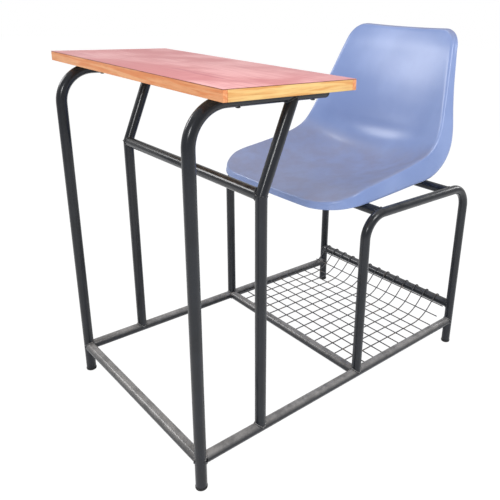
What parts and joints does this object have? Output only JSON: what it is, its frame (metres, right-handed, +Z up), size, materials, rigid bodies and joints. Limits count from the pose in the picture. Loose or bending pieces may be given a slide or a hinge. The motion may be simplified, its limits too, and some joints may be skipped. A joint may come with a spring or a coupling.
{
  "type": "student desk chair",
  "caption": "Round-tube school desk and chair in one welded frame, with a laminate desktop, a moulded bucket seat and a wire book basket under it.",
  "frame": {"origin": "bottom centre of the bounding box, at floor level", "axes": "+Z up; the sitter faces -Y, so the desk is towards -Y and the seat towards +Y; +X is the sitter's left"},
  "size_m": [0.639, 0.8238, 0.8226],
  "materials": {
    "tube_paint": "dark graphite gloss paint",
    "laminate": "satin pink-red wood-grain laminate",
    "edge_wood": "pale softwood lipping",
    "board_core": "raw chipboard",
    "seat_plastic": "semi-gloss periwinkle blue",
    "basket_wire": "dull weathered wire",
    "cap_plastic": "matt black",
    "screw_steel": "zinc-plated"
  },
  "bodies": {
    "root": {"basket_rear_rail": "tube_paint", "book_basket": "basket_wire", "chair_side_frame_left": "tube_paint", "chair_side_frame_right": "tube_paint", "desk_rail_cap_left": "cap_plastic", "desk_rail_cap_right": "cap_plastic", "desk_rear_brace_left": "tube_paint", "desk_rear_brace_right": "tube_paint", "desk_rear_post_left": "tube_paint", "desk_rear_post_right": "tube_paint", "desk_side_tube_left": "tube_paint", "desk_side_tube_right": "tube_paint", "desktop_board": "board_core", "desktop_edge_front": "edge_wood", "desktop_edge_left": "edge_wood", "desktop_edge_rear": "edge_wood", "desktop_edge_right": "edge_wood", "desktop_laminate": "laminate", "desktop_screw_front_left": "screw_steel", "desktop_screw_front_right": "screw_steel", "desktop_screw_rear_left": "screw_steel", "desktop_screw_rear_right": "screw_steel", "floor_front_rail": "tube_paint", "floor_middle_rail": "tube_paint", "floor_side_rail_left": "tube_paint", "floor_side_rail_right": "tube_paint", "foot_cap_front_left": "cap_plastic", "foot_cap_front_right": "cap_plastic", "foot_cap_rear_left": "cap_plastic", "foot_cap_rear_right": "cap_plastic", "knee_cross_tube": "tube_paint", "seat_cross_tube_front": "tube_paint", "seat_cross_tube_rear": "tube_paint", "seat_screw_front_left": "screw_steel", "seat_screw_front_right": "screw_steel", "seat_screw_rear_left": "screw_steel", "seat_screw_rear_right": "screw_steel", "seat_shell": "seat_plastic"}
  },
  "joints": []
}
